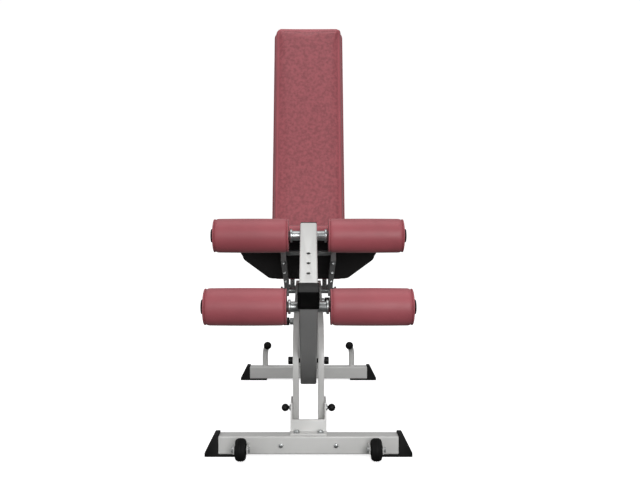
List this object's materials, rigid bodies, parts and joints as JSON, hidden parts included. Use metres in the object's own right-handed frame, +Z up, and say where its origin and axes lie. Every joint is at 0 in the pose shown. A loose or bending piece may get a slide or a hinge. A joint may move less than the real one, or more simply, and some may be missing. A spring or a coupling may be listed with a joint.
{
  "type": "adjustable weight bench",
  "caption": "Weight bench with tilting back and seat pads, folding leg hold-down with foam rollers, arched twin-rail frame and transport wheels.",
  "frame": {"origin": "on the floor under the middle of the bench's box", "axes": "+Z up, +Y from the leg hold-down towards the back, +X to the right seen from the front"},
  "size_m": [0.52, 1.1932, 1.2996],
  "materials": {
    "white_paint": "gloss powder coat, off-white",
    "grey_paint": "satin powder coat, mid grey",
    "rubber": "matt black moulded rubber",
    "black_plastic": "moulded black nylon",
    "steel": "zinc plated steel",
    "vinyl": "dusty red upholstery vinyl over foam",
    "plywood": "plywood under a black backing cloth"
  },
  "bodies": {
    "frame": {"back_axle": "steel", "back_lock_barrel": "steel", "foot_bolt_left": "steel", "foot_bolt_right": "steel", "front_bracket": "white_paint", "front_foot": "white_paint", "front_foot_cap_left": "rubber", "front_foot_cap_right": "rubber", "front_pin_bush_left": "steel", "front_pin_bush_right": "steel", "leg_pivot_bolt": "black_plastic", "rear_bolt": "black_plastic", "rear_bracket": "white_paint", "rear_foot": "white_paint", "rear_foot_cap_left": "rubber", "rear_foot_cap_right": "rubber", "rear_peg_left": "white_paint", "rear_peg_right": "white_paint", "rear_peg_tip_left": "rubber", "rear_peg_tip_right": "rubber", "seat_axle": "steel", "seat_lock_barrel": "steel", "side_rail_left": "white_paint", "side_rail_right": "white_paint", "wheel_axle_left": "steel", "wheel_axle_right": "steel", "wheel_fork_left": "white_paint", "wheel_fork_right": "white_paint"},
    "back": {"back_board": "plywood", "back_pad": "vinyl", "back_spine_left": "grey_paint", "back_spine_right": "grey_paint", "back_sector": "steel"},
    "seat": {"seat_board": "plywood", "seat_pad": "vinyl", "seat_bearer_left": "grey_paint", "seat_bearer_right": "grey_paint", "seat_arc": "steel"},
    "leg": {"leg_post": "grey_paint", "leg_post_plug": "black_plastic", "carrier_sleeve": "black_plastic", "ankle_roller_shaft": "steel", "ankle_roller_cap_left": "black_plastic", "ankle_roller_cap_right": "black_plastic"},
    "knee": {"knee_carrier": "white_paint", "knee_carrier_plug": "black_plastic", "knee_carrier_tail_plug": "black_plastic", "knee_roller_shaft": "steel", "knee_roller_cap_left": "black_plastic", "knee_roller_cap_right": "black_plastic"},
    "back_pin": {"back_lock_pin": "black_plastic"},
    "seat_pin": {"seat_lock_pin": "black_plastic"},
    "front_pin_left": {"front_pin_left": "black_plastic"},
    "wheel_left": {"transport_wheel_left": "rubber"},
    "knee_roller_left": {"knee_roller_left": "vinyl"},
    "ankle_roller_left": {"ankle_roller_left": "vinyl"},
    "front_pin_right": {"front_pin_right": "black_plastic"},
    "wheel_right": {"transport_wheel_right": "rubber"},
    "knee_roller_right": {"knee_roller_right": "vinyl"},
    "ankle_roller_right": {"ankle_roller_right": "vinyl"}
  },
  "joints": [
    {"name": "back_tilt", "type": "hinge", "parent": "frame", "child": "back", "pos_m": [0, 0.19557, 0.38], "axis": [1, 0, 0], "range_deg": [-75.5, 4.5]},
    {"name": "seat_tilt", "type": "hinge", "parent": "frame", "child": "seat", "pos_m": [0, 0.08557, 0.38], "axis": [1, 0, 0], "range_deg": [0, 18]},
    {"name": "leg_fold", "type": "hinge", "parent": "frame", "child": "leg", "pos_m": [0, -0.33843, 0.2315], "axis": [1, 0, 0], "range_deg": [0, 45]},
    {"name": "knee_slide", "type": "slide", "parent": "leg", "child": "knee", "axis": [0, 0.8226, 0.5686], "range_m": [-0.078, 0]},
    {"name": "knee_roller_left_spin", "type": "hinge", "parent": "knee", "child": "knee_roller_left", "pos_m": [0, -0.37143, 0.553], "axis": [1, 0, 0], "continuous": true},
    {"name": "ankle_roller_left_spin", "type": "hinge", "parent": "leg", "child": "ankle_roller_left", "pos_m": [0, -0.53443, 0.389], "axis": [1, 0, 0], "continuous": true},
    {"name": "wheel_left_spin", "type": "hinge", "parent": "frame", "child": "wheel_left", "pos_m": [-0.166, -0.43043, 0.029], "axis": [1, 0, 0], "continuous": true},
    {"name": "front_pin_left_pull", "type": "slide", "parent": "frame", "child": "front_pin_left", "axis": [-1, 0, 0], "range_m": [0, 0.008], "stiffness_N_per_m": 600, "springref_m": -0.006},
    {"name": "knee_roller_right_spin", "type": "hinge", "parent": "knee", "child": "knee_roller_right", "pos_m": [0, -0.37143, 0.553], "axis": [1, 0, 0], "continuous": true},
    {"name": "ankle_roller_right_spin", "type": "hinge", "parent": "leg", "child": "ankle_roller_right", "pos_m": [0, -0.53443, 0.389], "axis": [1, 0, 0], "continuous": true},
    {"name": "wheel_right_spin", "type": "hinge", "parent": "frame", "child": "wheel_right", "pos_m": [0.166, -0.43043, 0.029], "axis": [1, 0, 0], "continuous": true},
    {"name": "front_pin_right_pull", "type": "slide", "parent": "frame", "child": "front_pin_right", "axis": [1, 0, 0], "range_m": [0, 0.008], "stiffness_N_per_m": 600, "springref_m": -0.006},
    {"name": "seat_pin_pull", "type": "slide", "parent": "frame", "child": "seat_pin", "axis": [-1, 0, 0], "range_m": [0, 0.012], "stiffness_N_per_m": 600, "springref_m": -0.006},
    {"name": "back_pin_pull", "type": "slide", "parent": "frame", "child": "back_pin", "axis": [1, 0, 0], "range_m": [0, 0.012], "stiffness_N_per_m": 600, "springref_m": -0.006}
  ]
}
